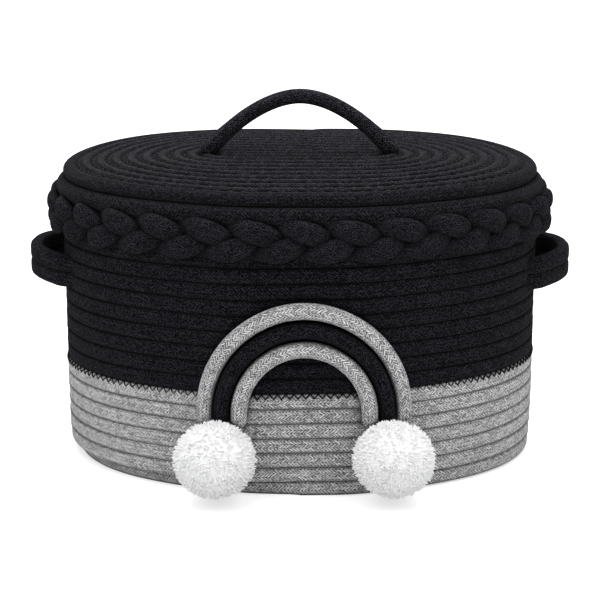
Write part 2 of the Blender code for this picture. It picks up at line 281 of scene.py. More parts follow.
def section(sides, power, half_out, half_across):
    """Even points round a pressed rope, from outside, as shares of its two half sizes."""
    angles = np.linspace(0, 2 * math.pi, SECTION_POINTS)
    cos, sin = np.cos(angles), np.sin(angles)
    out = np.sign(cos) * np.abs(cos) ** (2 / power)
    across = np.sign(sin) * np.abs(sin) ** (2 / power)
    run = lengths(np.stack([out * half_out, across * half_across, np.zeros_like(out)], axis=1))
    places = np.arange(sides) / sides * run[-1]
    return np.interp(places, run, out), np.interp(places, run, across)


# Ropes

STROKE = 0.0020    # distance between two strokes of a rope's braided cover
COLUMNS = 14       # columns of strokes round a rope
ROPE_PRESS = 1.01  # width of a rope as a share of its pitch, pressed into its neighbours
END_RINGS = np.array([0.45, 0.8, 0.97])  # rings of a rounded end, in radii


def sweep(name, points, outs, acrosses, half_out, half_across, power, sides, stroke=STROKE, columns=COLUMNS,
          closed=False, caps="round", floor=None, ends_at_zero=False):
    """A rope along the points. Its texture runs in strokes along it and in columns round it."""
    acrosses = np.broadcast_to(acrosses, points.shape)
    half_out = half_out + np.zeros(len(points))
    half_across = half_across + np.zeros(len(points))
    section_out, section_across = section(sides, power, np.median(half_out), np.median(half_across))
    if caps == "round" and not closed:
        rounded = round_ends(points, outs, acrosses, half_out, half_across)
        points, outs, acrosses, half_out, half_across = rounded
    count = len(points)
    rings = (points[:, None, :]
             + outs[:, None, :] * (half_out[:, None] * section_out)[:, :, None]
             + acrosses[:, None, :] * (half_across[:, None] * section_across)[:, :, None])
    vertices = rings.reshape(-1, 3)
    if floor is not None:
        vertices[:, 2] = np.maximum(vertices[:, 2], floor)
    here = np.arange(count if closed else count - 1)[:, None] * sides
    ahead = (here + sides) % (count * sides)
    cols = np.arange(sides)
    next_cols = (cols + 1) % sides
    faces = np.stack([here + cols, here + next_cols, ahead + next_cols, ahead + cols], axis=-1)
    faces = faces.reshape(-1, 4).tolist()
    if not closed:
        faces.append(list(range(sides)))
        faces.append(list(range((count - 1) * sides, count * sides))[::-1])
    mesh = bpy.data.meshes.new(name)
    mesh.from_pydata(vertices.tolist(), [], faces)
    set_texture(mesh, rope_texture(points, stroke, sides, columns, closed, ends_at_zero))
    if caps == "flat":
        sharpen_ends(mesh, sides, count)
    face_outward(mesh)
    return place(name, mesh)


def round_ends(points, outs, acrosses, half_out, half_across):
    """The same rope with rings at its two ends that shrink over its last radius."""
    reach = float(np.mean(half_across[:2])) * END_RINGS
    first = points[0] + unit(points[0] - points[1]) * reach[::-1, None]
    last = points[-1] + unit(points[-1] - points[-2]) * reach[:, None]
    sizes = np.sqrt(1 - END_RINGS ** 2)
    sizes = np.concatenate([sizes[::-1], np.ones(len(points)), sizes])
    which = np.pad(np.arange(len(points)), len(END_RINGS), mode="edge")
    points = np.concatenate([first, points, last])
    return points, outs[which], acrosses[which], half_out[which] * sizes, half_across[which] * sizes


def rope_texture(points, stroke, sides, columns, closed, ends_at_zero):
    """Texture places of the corners of a rope's faces, in strokes along it and columns round it.

    The middle of a column faces out, and the texture of a closed rope meets its own start.
    """
    u_here = lengths(points) / stroke
    whole = u_here[-1]
    if ends_at_zero:
        u_here = u_here - whole
    if closed:
        whole += np.linalg.norm(points[0] - points[-1]) / stroke
        u_here = u_here * round(whole) / whole
        whole = round(whole)
    u_ahead = np.append(u_here[1:], whole)
    v = np.arange(sides + 1) / sides * columns + 0.5
    rows = len(points) if closed else len(points) - 1
    corners = np.zeros((rows, sides, 4, 2))
    corners[:, :, :2, 0] = u_here[:rows, None, None]
    corners[:, :, 2:, 0] = u_ahead[:rows, None, None]
    corners[:, :, ::3, 1] = v[:-1, None]
    corners[:, :, 1:3, 1] = v[1:, None]
    end_faces = np.zeros((0 if closed else 2 * sides, 2))
    return np.concatenate([corners.reshape(-1, 2), end_faces])


def set_texture(mesh, places):
    """Gives a mesh its texture places and smooth shading."""
    layer = mesh.uv_layers.new(name="UVMap")
    layer.data.foreach_set("uv", places.reshape(-1).astype(np.float32))
    mesh.update()
    mesh.shade_smooth()


def sharpen_ends(mesh, sides, count):
    """Lets the flat end faces keep their own shading."""
    pairs = np.zeros(len(mesh.edges) * 2, np.int32)
    mesh.edges.foreach_get("vertices", pairs)
    ring = pairs.reshape(-1, 2) // sides
    sharp = (ring[:, 0] == ring[:, 1]) & ((ring[:, 0] == 0) | (ring[:, 0] == count - 1))
    mesh.edges.foreach_set("use_edge_sharp", sharp)


def place(name, data):
    """Puts a new object into the scene."""
    obj = bpy.data.objects.new(name, data)
    bpy.context.scene.collection.objects.link(obj)
    return obj


def vertex_places(mesh):
    places = np.zeros(len(mesh.vertices) * 3)
    mesh.vertices.foreach_get("co", places)
    return places.reshape(-1, 3)


def face_outward(mesh):
    """Turns the faces round if the closed mesh is inside out."""
    mesh.calc_loop_triangles()
    corners = np.zeros(len(mesh.loop_triangles) * 3, np.int32)
    mesh.loop_triangles.foreach_get("vertices", corners)
    triangles = vertex_places(mesh)[corners.reshape(-1, 3)]
    if np.linalg.det(triangles).sum() < 0:
        mesh.flip_normals()


# Materials

NOOK_SHADE_REACH = 0.005  # distance over which painted shade from one rope darkens another
NOOK_SHADE_RAYS = 6
LATE_PAINTED_SHADE = 0.46    # painted shade: how much darker a sewn rope is after its last seam on top, where it faces the side


class Shader:
    """Builds the nodes of a material or a world one at a time."""

    def __init__(self, owner):
        owner.use_nodes = True
        self.owner = owner
        self.nodes = owner.node_tree.nodes
        self.links = owner.node_tree.links

    def fill(self, node, inputs):
        """Links or sets a node's inputs."""
        for key, value in inputs.items():
            if isinstance(value, bpy.types.NodeSocket):
                self.links.new(value, node.inputs[key])
            else:
                node.inputs[key].default_value = value

    def node(self, kind, inputs, **settings):
        node = self.nodes.new(kind)
        for key, value in settings.items():
            setattr(node, key, value)
        self.fill(node, inputs)
        return node

    def math(self, operation, first, second=0.0, clamp=False):
        node = self.node("ShaderNodeMath", {0: first, 1: second}, operation=operation)
        node.use_clamp = clamp
        return node.outputs[0]

    def times(self, first, second):
        return self.math("MULTIPLY", first, second)

    def both_ways(self, share):
        """Turns a value from 0 to 1 into one from -1 to 1."""
        return self.math("SUBTRACT", self.times(share, 2.0), 1.0)

    def uv(self):
        split = self.node("ShaderNodeSeparateXYZ", {0: self.node("ShaderNodeUVMap", {}).outputs[0]})
        return split.outputs[0], split.outputs[1]

    def vector(self, x, y):
        return self.node("ShaderNodeCombineXYZ", {0: x, 1: y}).outputs[0]

    def noise(self, vector, scale, detail, roughness=0.6):
        inputs = {"Vector": vector, "Scale": scale, "Detail": detail, "Roughness": roughness}
        return self.node("ShaderNodeTexNoise", inputs).outputs["Fac"]

    def spread(self, value, low, high, to_low=0.0, to_high=1.0):
        inputs = {"Value": value, "From Min": low, "From Max": high, "To Min": to_low, "To Max": to_high}
        return self.node("ShaderNodeMapRange", inputs).outputs[0]

    def mix(self, share, dark, light):
        node = self.node("ShaderNodeMix", {0: share, 6: (*dark, 1.0), 7: (*light, 1.0)}, data_type="RGBA")
        return node.outputs[2]

    def seen(self):
        """One for what the camera sees directly, and zero for other light."""
        return self.node("ShaderNodeLightPath", {}).outputs["Is Camera Ray"]

    def finish(self, colour, height, depth, roughness=0.9, sheen=0.0, specular=0.1):
        bump = self.node("ShaderNodeBump", {"Height": height, "Strength": 1.0, "Distance": depth})
        self.fill(self.nodes["Principled BSDF"], {
            "Base Color": colour, "Normal": bump.outputs[0], "Roughness": roughness,
            "Specular IOR Level": specular, "Sheen Weight": sheen, "Sheen Roughness": 0.5})
        return self.owner


def braided_cotton(name, dark, light, columns=COLUMNS, lean=0.68, depth=0.0007, groove_shade=0.95, hard=1.0, grain=0.6,
                   face=None, seam=(0.62, 0.40), until=1e6, nook_shade=(0.32, 0.88), sheen=0.0, specular=0.1):
    """Cover of a braided rope: strokes that lean one way in one column and the other way in the next.

    groove_shade is how much painted shade darkens the grooves between the strokes, hard makes light strokes
    rarer and grain is how strongly the fine fibres show. On a sewn rope, painted shade darkens the column
    called face towards its seams between the two values of seam, up to the stroke called until; after that
    stroke painted shade darkens it all over. Painted shade darkens places between ropes between nook_shade.
    """
    shader = Shader(bpy.data.materials.new(name))
    u, v = shader.uv()
    column = shader.math("FLOORED_MODULO", shader.math("FLOOR", v), float(columns))
    across = shader.both_ways(shader.math("FRACT", v))
    side = shader.both_ways(shader.math("PINGPONG", column, 1.0))
    wander = shader.spread(shader.noise(shader.vector(u, v), 0.30, 2.0), 0.0, 1.0, -0.4, 0.4)
    slant = shader.times(shader.times(side, across), lean)
    phase = shader.math("ADD", shader.math("ADD", u, wander), slant)
    stroke = shader.vector(shader.math("FLOOR", phase), column)
    pick = shader.node("ShaderNodeTexWhiteNoise", {"Vector": stroke}, noise_dimensions="2D")
    ridge = shader.math("SINE", shader.times(shader.math("FRACT", phase), math.pi))
    edge = shader.math("SUBTRACT", 1.0, shader.math("POWER", shader.math("ABSOLUTE", across), 6.0))
    bulge = shader.times(ridge, shader.spread(edge, 0.0, 1.0, 0.4, 1.0))
    # Fine fibres, and deeper grooves with more painted shade where a strand goes under
    fine = shader.vector(shader.times(phase, 1.5), shader.times(v, 1.8))
    fibres = shader.noise(fine, 1.3, 2.0, 0.7)
    knots = shader.noise(shader.vector(u, shader.times(v, 2.0)), 1.1, 2.0)
    open_groove_shade = shader.spread(knots, 0.35, 0.65, 0.5 * groove_shade, 1.1 * groove_shade)
    # Painted shade in the grooves between the strokes and at the edges of the columns
    between = shader.times(shader.spread(bulge, 0.85, 0.30), open_groove_shade)
    body = shader.math("SUBTRACT", 1.0, between, clamp=True)
    tone = shader.times(body, shader.spread(pick.outputs["Value"], 0.0, 1.0, 0.45, 1.0))
    tone = shader.math("ADD", tone, shader.spread(fibres, 0.3, 0.7, -grain, grain), clamp=True)
    tone = shader.math("POWER", tone, hard)
    # Painted shade: strokes that lie deep between two ropes, where less light reaches, are darkened in
    # colour.
    near = shader.node("ShaderNodeAmbientOcclusion", {"Distance": NOOK_SHADE_REACH}, samples=NOOK_SHADE_RAYS)
    tone = shader.times(tone, shader.spread(near.outputs["AO"], *nook_shade, 0.05, 1.0))
    # Painted shade towards the seams of a sewn rope, broken up along it
    if face is not None:
        turned = shader.times(shader.math("SUBTRACT", v, face), 2 * math.pi / columns)
        seam_shade = shader.spread(shader.math("COSINE", turned), *seam)
        uneven = shader.noise(shader.vector(u, 0.5), 0.55, 1.0)
        seam_shade = shader.times(seam_shade, shader.spread(uneven, 0.35, 0.60, 0.35, 0.95))
        seam_shade = shader.times(seam_shade, shader.math("LESS_THAN", u, until))
        # Painted shade over the rope after its last seam on top
        late_shade = shader.times(shader.math("GREATER_THAN", u, until), LATE_PAINTED_SHADE)
        tone = shader.times(tone, shader.math("SUBTRACT", 1.0, shader.math("ADD", seam_shade, late_shade)))
    height = shader.math("ADD", bulge, shader.times(fibres, 0.6))
    return shader.finish(shader.mix(tone, dark, light), height, depth, sheen=sheen, specular=specular)


def plain_thread(name, colour):
    """Twisted sewing thread."""
    shader = Shader(bpy.data.materials.new(name))
    u, v = shader.uv()
    twist = shader.math("SINE", shader.times(shader.math("ADD", u, v), 2 * math.pi))
    tone = shader.spread(twist, -1.0, 1.0, 0.75, 1.1)
    dark = tuple(0.7 * part for part in colour)
    return shader.finish(shader.mix(tone, dark, colour), twist, 0.00005, roughness=0.75)


def cut_yarn(name, colour):
    """Soft white yarn, with painted shade that makes it a little darker deep between the strands."""
    shader = Shader(bpy.data.materials.new(name))
    u, v = shader.uv()
    fibres = shader.noise(shader.vector(shader.times(u, 0.6), shader.times(v, 6.0)), 3.0, 4.0, 0.7)
    # Painted shade, darker towards the ball's middle
    depth_shade = shader.spread(u, 0.0, 1.0, 0.90, 1.0)
    tone = shader.times(shader.spread(fibres, 0.3, 0.7, 0.93, 1.0), depth_shade)
    dark = tuple(0.7 * part for part in colour)
    return shader.finish(shader.mix(tone, dark, colour), fibres, 0.0001, sheen=0.1)


def make_materials():
    """All the materials but the lid rope's, whose seams end at a place along that rope."""
    black = {"sheen": 0.02, "specular": 0.02}
    return {
        # The wall's grey and black ropes take painted shade towards their seams.
        "grey": braided_cotton("grey_cotton_rope", GREY_DARK, GREY_LIGHT, grain=0.5, face=0.5,
                               seam=(0.50, 0.30), sheen=0.35),
        "black": braided_cotton("black_cotton_rope", BLACK_DARK, BLACK_LIGHT, hard=2.4, grain=1.1, **black),
        "wall_black": braided_cotton("black_cotton_wall_rope", BLACK_DARK, BLACK_LIGHT, hard=2.2, grain=1.0,
                                     face=0.5, seam=(0.70, 0.45), **black),
        # The handle's rope takes the lid's painted light, for the light from above on it.
        "bow_black": braided_cotton("black_cotton_handle_rope", BLACK_DARK, LID_PAINTED_LIGHT, hard=1.8, grain=0.9,
                                    sheen=0.03, specular=0.02),
        # The braid's strands take a lighter colour as painted light.
        "soft_black": braided_cotton("black_cotton_strand", BLACK_DARK, BRAID_PAINTED_LIGHT, columns=STRAND_COLUMNS,
                                     # Stronger painted shade between the braid's strands
                                     lean=0.6, hard=2.4, grain=1.1, nook_shade=(0.46, 0.98), sheen=0.015,
                                     specular=0.02),
        "pale": braided_cotton("light_grey_cotton_rope", PALE_DARK, PALE_LIGHT),
        "white": cut_yarn("white_cut_yarn", YARN_WHITE),
        "black_thread": plain_thread("black_thread", THREAD_BLACK),
        "grey_thread": plain_thread("grey_thread", THREAD_GREY),
        "highlight_thread": plain_thread("black_thread_painted_highlight", THREAD_PAINTED_HIGHLIGHT),
    }


def dress(obj, material, slot, body, *nodes):
    """Gives a piece its material and its body, and hides the solids that it stands for; slot is not used."""
    obj.data.materials.clear()
    obj.data.materials.append(material)
    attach(obj, body)
    if nodes:
        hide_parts(*nodes)


# Wall and base

ROW_DEPTH = 0.0038    # half the depth of a pressed row, from the inside to the outside
ROW_POWER = 5.5       # how square a pressed row is
ROW_PRESS = 1.015     # height of a row as a share of its pitch, pressed into its neighbours
ROW_SIDES = 28
ROW_SWELL = 0.02      # how much its depth varies, as a share
ROW_WOBBLE = 0.00025  # how far its middle strays
BASE_TAPER = 0.0016   # how far the lowest row draws in
TAPER_TURNS = 1.1     # turns over which most of that is gone
TUCK_CLEAR = 0.0003   # gap between the tucked end and the row beside it
BASE_TURNS = 10
BASE_BLEND = 0.03     # length over which the base's rope takes the wall's section
BASE_START = ((0.040, 0.0010), (0.020, 0.0010), (0.0, 0.0010), (-0.020, 0.0008), (-0.038, 0.0),
              (-0.0445, -0.0025), (-0.0420, -0.0065), (-0.030, -0.0082), (-0.015, -0.0088))


def wall_height(turn):
    grey = np.minimum(turn, GREY_TURNS)
    black = np.maximum(np.minimum(turn, LEVEL_TURN) - GREY_TURNS, 0)
    return FIRST_MIDDLE + GREY_PITCH * grey + BLACK_PITCH * black


def turns_between(first, last):
    return np.linspace(first, last, round((last - first) * LOOP * FINE) + 1)


def taper(turns):
    """How far the wall draws in towards its foot."""
    return BASE_TAPER * np.exp(-turns / TAPER_TURNS)


def wall_line(first, last):
    """Middle line of the wall's rope between two turns, with its outward directions."""
    turns = turns_between(first, last)
    over = wall_height(turns) - wall_height(turns - 1)
    tuck = np.sqrt(np.maximum((BLACK_PITCH + TUCK_CLEAR) ** 2 - over ** 2, 0))
    tuck = np.where(turns > LEVEL_TURN, tuck, 0) * smooth((turns - LEVEL_TURN) * LOOP / 2)
    places, outs = oval(WALL_MIDDLE - tuck - taper(turns), turns * LOOP)
    places[:, 2] = wall_height(turns)
    return places, outs


def make_wall(name, first, last, pitch, material, slot):
    points, outs = wall_line(first, last)
    run = lengths(points)
    swell = 1 + ROW_SWELL * soft_noise(run * 60, 3)
    moved = points + outs * (ROW_WOBBLE * soft_noise(run * 25, 5))[:, None]
    obj = sweep(name, moved, outs, UP, ROW_DEPTH * swell, pitch / 2 * ROW_PRESS, power=ROW_POWER,
                sides=ROW_SIDES, caps="flat", floor=0.0)
    dress(obj, material, slot, "basket", name.replace("_rope", ""))


def make_base(material):
    """The base's coil, from a straight start in the middle out to the wall's start."""
    turns = turns_between(1.0, 1.0 + BASE_TURNS)
    share = turns - np.floor(turns)
    share[-1] = 1.0
    whole = turns - share
    w = WALL_MIDDLE - GREY_PITCH * np.sqrt(1 - share ** 2) - GREY_PITCH * (BASE_TURNS - whole)
    places, outs = oval(w * (1 - BASE_TAPER / WALL_MIDDLE), turns * LOOP)
    start = np.array([(x, y, 0.0) for x, y in BASE_START])
    points = np.concatenate([start, places])
    points[:, 2] = FIRST_MIDDLE
    # The last stretch takes the wall's section, so that the rope goes on without a step.
    run = lengths(points)
    ending = smooth((run - run[-1] + BASE_BLEND) / BASE_BLEND)
    turned = unit(np.cross(tangents(points), UP))
    square = np.concatenate([turned[:len(start)], outs])
    outs = unit(turned + (square - turned) * ending[:, None])
    half_coil = GREY_PITCH / 2 * ROPE_PRESS
    half_out = half_coil + (ROW_DEPTH - half_coil) * ending
    half_up = FIRST_MIDDLE + (GREY_PITCH / 2 * ROW_PRESS - FIRST_MIDDLE) * ending
    obj = sweep("base_coil_rope", points, outs, UP, half_out, half_up, power=ROW_POWER, sides=ROW_SIDES,
                caps="flat", floor=0.0, ends_at_zero=True)
    dress(obj, material, "grey_cotton", "basket", "base_coil")


# Lid

LID_POWER = 2.0      # how square the lid's rope is
LID_ROPE_HEIGHT = 0.0092
CROSS_STEP = 10      # step where a row of the lid begins to cross to the next
CROSS_STEPS = 4
DROP_STEP = 11.2     # step where the edge row begins to drop to the skirt row
DROP_STEPS = 2.4
END_STEP = 12.4      # step where the skirt row ends, under the rope that drops
SEWN_STEP = 8        # step where the thread between the rows on top ends
LID_FIRST = CROSS_STEP + CROSS_STEPS - LOOP
LID_START = 12       # points of the straight start in the middle
START_FROM = 0.1     # where they begin and end between the two half circles
START_TO = 0.95
START_SIZE = 0.12    # share of its full width with which the rope begins
START_GROWTH = 0.9
SKIRT_SINK = 0.0009  # how much lower the skirt row's middle is for its greater height
END_START = 0.095    # distance from the middle where the lid's ends begin to hang
END_STOP = 0.145
END_DROOP = 0.0005
DROOP_W = 0.06       # half depth of the innermost row that hangs
BACK_LIFT = 0.0018
FRONT_DROOP = 0.0012


def near_ends(points):
    """How near points are to the lid's two ends, from 0 to 1."""
    return smooth((np.abs(points[:, 0]) - END_START) / (END_STOP - END_START))


def lid_places(counts, extra=0.0):
    """Middle of the lid's rope after so many steps, moved out by extra, with directions and closeness."""
    step = np.mod(counts, LOOP)
    row = np.floor(counts / LOOP)
    drops = row == LID_ROWS - 1
    crossing = np.where(drops, DROP_STEP, CROSS_STEP)
    row = row + smooth((step - crossing) / np.where(drops, DROP_STEPS, CROSS_STEPS))
    top = np.minimum(row, LID_ROWS - 1)
    skirt = np.minimum(row - top, 1)
    w = CENTRE_W + LID_PITCH * top
    z = EDGE_Z + LID_DOME * (1 - (w / EDGE_W) ** 2) - EDGE_UP * skirt
    points, outs, close = oval_rows(w + EDGE_IN * skirt + extra, step)
    # The rows hang lower at the two ends, the outer ones most, and stand higher at the back.
    z = z - near_ends(points) * END_DROOP * smooth((w - DROOP_W) / (EDGE_W - DROOP_W))
    back = BACK_LIFT * smooth(points[:, 1] / EDGE_W)
    front = FRONT_DROOP * smooth(-points[:, 1] / EDGE_W)
    points[:, 2] = z + back - front
    return points, outs, close


def lid_line():
    """Middle line of the lid's rope, with outward directions, widths and half heights of its section."""
    last = LID_ROWS * LOOP + END_STEP
    counts = np.linspace(LID_FIRST, last, round((last - LID_FIRST) * FINE) + 1)
    points, outs, close = lid_places(counts)
    # The skirt row is taller, down to behind the braid.
    taller = SKIRT_SINK * smooth((counts - (LID_ROWS - 1) * LOOP - DROP_STEP) / DROP_STEPS)
    points[:, 2] -= taller
    heights = LID_ROPE_HEIGHT / 2 + np.concatenate([np.zeros(LID_START), taller])
    # The start fills the wedge in the middle of the coil.
    shares = np.linspace(START_FROM, START_TO, LID_START)
    level = np.full(LID_START, points[0, 2])
    wedge = np.stack([SIDE_HALF * (1 - 2 * shares), LID_PITCH / 2 * shares, level], axis=1)
    sizes = np.concatenate([np.clip(START_SIZE + START_GROWTH * shares, 0, 1), close])
    points = np.concatenate([wedge, points])
    outs = np.concatenate([np.broadcast_to(BACK, (LID_START, 3)), outs])
    return points, outs, sizes, heights


def make_lid(highlight_thread):
    points, outs, sizes, heights = lid_line()
    last_seam = (LID_ROWS - 2) * LOOP + CROSS_STEP + CROSS_STEPS // 2
    until = lengths(points)[LID_START + (last_seam - LID_FIRST) * FINE] / STROKE
    # The lid's rope takes a lighter colour as painted light from above.
    material = braided_cotton("black_cotton_lid_rope", BLACK_DARK, LID_PAINTED_LIGHT, hard=2.0, grain=0.9,
                              # Each row's sides take painted shade below its lit top, up to the last seam on
                              # top.
                              face=0.5 + COLUMNS / 4, seam=(0.99, 0.78), until=until, sheen=0.03,
                              specular=0.02)
    lid = sweep("lid_coil_rope", points, outs, UP, LID_PITCH / 2 * ROPE_PRESS * sizes, heights,
                power=LID_POWER, sides=24)
    dress(lid, material, "black_cotton", "lid", "lid_coil")
    zigzag("lid_seam_thread", lid_seams(), SEAM_PITCH, THIN_THREAD, highlight_thread, "black_cotton", "lid")


# Handles and rainbow

BOW_POINTS = 81
BOW_ROOT = 0.0065    # how far the lid handle's rope goes on into the lid
BOW_SPACING = 0.001
BOW_ROUND = 2.05     # how square its section is
FOOT_START = 0.040   # distance from the middle where it begins to widen
FOOT_OVER = 0.012
FOOT_FLARE = 0.14
STRAP_POINTS = 125
STRAP_END = 1.24     # end of a side handle's rope in the wall, as a share of its spread
STRAP_OUT = 1.05
STRAP_SINK = 0.0085  # how deep its ends go into the wall
STRAP_SINK_FROM = 0.93
STRAP_SINK_OVER = 0.31
STRAP_PRESS = 1.08   # height of its rope as a share of its pitch
ARCH_POINTS = 161
ARCH_SPACING = 0.0012
ARCH_CLEAR = 0.0001  # gap between the rainbow and the wall


def bow_line():
    """Middle line of the lid's handle, which goes down between two rows of the lid at each end."""
    x = BOW_HALF * np.sin(math.pi * (np.linspace(0, 1, BOW_POINTS) - 0.5))
    z = BOW_FOOT + BOW_RISE * (1 - np.abs(x / BOW_HALF) ** BOW_POWER)
    points = np.stack([x, np.zeros_like(x), z], axis=1)
    first = points[0] + unit(points[0] - points[1]) * BOW_ROOT
    last = points[-1] + unit(points[-1] - points[-2]) * BOW_ROOT
    return resample(np.concatenate([[first], points, [last]]), BOW_SPACING)


def make_lid_handle(material):
    points = bow_line()
    outs = unit(np.cross(BACK, tangents(points)))
    foot = smooth((np.abs(points[:, 0]) - FOOT_START) / FOOT_OVER)
    bow = sweep("lid_handle_cover", points, outs, BACK, HANDLE_ROPE / 2 * (1 + FOOT_FLARE * foot),
                HANDLE_ROPE / 2, power=BOW_ROUND, sides=20)
    bow.data.materials.append(material)
    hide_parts("lid_handle")
    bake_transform(bow)


def strap_line(side, z):
    """Middle line of one rope of a side handle, whose ends go into the wall."""
    shares = np.linspace(-STRAP_END, STRAP_END, STRAP_POINTS)
    angles = np.radians(STRAP_AIM + STRAP_SPREAD * shares)
    reach = STRAP_REACH * np.maximum(1 - np.abs(shares) ** 2.5, 0) ** 1.5
    sink = STRAP_SINK * smooth((np.abs(shares) - STRAP_SINK_FROM) / STRAP_SINK_OVER)
    w = WALL_OUTER + STRAP_ROPE / 2 + reach * STRAP_OUT - sink
    x = SIDE_HALF + w * np.cos(angles)
    y = w * np.sin(angles)
    y = y * (1 - bow_loss(x, y))
    return np.stack([side * x, y, z + STRAP_LIFT * reach / STRAP_REACH], axis=1)


def make_side_handles(material):
    for side_name, side in (("left", -1), ("right", 1)):
        for row_name, half in (("lower", -0.5), ("upper", 0.5)):
            height = STRAP_MIDDLE + half * STRAP_PITCH + (STRAP_LEFT_UP if side < 0 else 0)
            points = strap_line(side, height)
            outs = unit(np.cross(UP, tangents(points)))
            name = f"side_handle_{side_name}_{row_name}"
            strap = sweep(name + "_cover", points, outs, UP, STRAP_HALF_DEPTH, STRAP_PITCH / 2 * STRAP_PRESS,
                          power=4.0, sides=24)
            dress(strap, material, "black_cotton", "basket", name + "_rope")


def front_face(x):
    """Where the wall's front face is, this far from the middle."""
    past = np.maximum(np.abs(x) - SIDE_HALF, 0)
    return -np.sqrt(WALL_OUTER ** 2 - past ** 2) * (1 - bow_loss(x, -1))


def rainbow_line(index):
    """Middle line of an arch of the rainbow, from foot to foot, along the wall's face."""
    half = RAINBOW_HALF - RAINBOW_STEP_X * index
    rise = RAINBOW_RISE - RAINBOW_STEP_Z * index
    angles = math.pi * (1 - np.linspace(0, 1, ARCH_POINTS))
    x = np.concatenate([[-half], half * np.cos(angles), [half]]) + RAINBOW_X
    z = np.pad(RAINBOW_SPRING + rise * np.sin(angles), 1, constant_values=RAINBOW_FOOT)
    points = np.stack([x, front_face(x) - RAINBOW_ROPE / 2 - ARCH_CLEAR, z], axis=1)
    return resample(points, ARCH_SPACING)


def make_rainbow(pale, black):
    for index, (name, material, slot) in enumerate((
            ("rainbow_outer", pale, "light_grey_cotton"),
            ("rainbow_middle", black, "black_cotton"),
            ("rainbow_inner", pale, "light_grey_cotton"))):
        points = rainbow_line(index)
        ahead = tangents(points)
        outs = unit(np.cross(np.cross(ahead, -BACK), ahead))
        acrosses = unit(np.cross(ahead, outs))
        rope = sweep(name + "_cover", points, outs, acrosses, RAINBOW_ROPE / 2, RAINBOW_ROPE / 2 * ROPE_PRESS,
                     power=2.15, sides=18)
        dress(rope, material, slot, "basket", name + "_rope")


# Braid

STRAND_HALF_WIDTH = 0.0060
STRAND_HALF_DEPTH = 0.0039
STRAND_STROKE = 0.0014
STRAND_COLUMNS = 26
STRAND_POINTS = 90        # points of a strand in one period
STRAND_PLUMP = 0.12       # how much deeper a strand is where it lies on top, as a share
STRAND_WIDE = 0.10        # how much wider it is there
STRAND_UNEVEN = 0.03
BRAID_SWING = 0.0061
BRAID_WEAVE = 0.0038
BRAID_LAG = 0.25          # makes the strands bend late and lie in rounder loops
BRAID_W = 0.1026          # half the depth of the oval along the braid's middle
BRAID_UP = -0.0011        # how far it lies above the middle of the solid braid
BRAID_BACK = 0.1015       # the braid's flat back, just clear of the wall
BRAID_ROUND = 0.0016      # depth over which the strands flatten against it
BRAID_DROOP = 0.0009      # how much lower it hangs at the lid's ends
BRAID_BACK_LIFT = 0.0031  # how much higher it lies at the back
BACK_START = -0.010       # where that begins, from the middle towards the back
BACK_OVER = 0.060


def make_strand(index, material):
    """One strand, which swings up and down and goes over and under the other two."""
    count = STRAND_POINTS * BRAID_PERIODS
    shares = np.arange(count) / count
    wave = 2 * math.pi * (BRAID_PERIODS * shares + index / 3)
    over = -np.sin(2 * wave)
    points, outs = oval_along(BRAID_W + BRAID_WEAVE * over, shares)
    swing = BRAID_SWING * np.sin(wave + BRAID_LAG * np.sin(2 * wave))
    points[:, 2] = BRAID_MIDDLE + BRAID_UP + swing - BRAID_DROOP * near_ends(points)
    points[:, 2] += BRAID_BACK_LIFT * smooth((points[:, 1] - BACK_START) / BACK_OVER)
    around = np.concatenate([points[-1:], points, points[:1]])
    along = unit(around[2:] - around[:-2])
    acrosses = unit(np.cross(along, outs))
    outs = unit(np.cross(acrosses, along))
    uneven = STRAND_UNEVEN * soft_noise(shares * 900, 20 + index)
    depth = STRAND_HALF_DEPTH * (1 + STRAND_PLUMP * over + uneven)
    width = STRAND_HALF_WIDTH * (1 + STRAND_WIDE * over)
    name = "braid_strand_" + "abc"[index]
    strand = sweep(name, points, outs, acrosses, depth, width, power=2.1, sides=26, stroke=STRAND_STROKE,
                   columns=STRAND_COLUMNS, closed=True)
    flatten_back(strand.data)
    dress(strand, material, "black_cotton", "lid", name)


def flatten_back(mesh):
    """Presses the parts of a strand that reach towards the wall flat, just outside it."""
    places = vertex_places(mesh)
    past = np.maximum(np.abs(places[:, 0]) - SIDE_HALF, 0)
    w = np.hypot(past, places[:, 1] / (1 - bow_loss(places[:, 0], places[:, 1])))
    edge = BRAID_BACK + BRAID_ROUND
    pressed = BRAID_BACK + BRAID_ROUND * np.exp(np.minimum(w - edge, 0) / BRAID_ROUND)
    share = np.where(w < edge, pressed / np.maximum(w, 1e-6), 1.0)
    middle = np.clip(places[:, 0], -SIDE_HALF, SIDE_HALF)
    places[:, 0] = middle + (places[:, 0] - middle) * share
    places[:, 1] = places[:, 1] * share
    mesh.vertices.foreach_set("co", places.reshape(-1))
    mesh.update()


# Sewing thread

ZIGZAG_BELOW = 0.0026    # how far the zigzag reaches below the seam over the grey rope
ZIGZAG_ABOVE = 0.0004
ZIGZAG_PROUD = 0.0003    # how far it stands off the rope
ZIGZAG_PITCH = 0.0046
ZIGZAG_THREAD = 0.00044  # radius of its thread
SEAM_REACH = 0.0012      # how far the other threads reach from the wall's seams
SEAM_PITCH = 0.0074
GREY_THREAD = 0.00030
THIN_THREAD = 0.00022
LID_REACH = 0.0011       # how far the thread reaches from the lid's seams


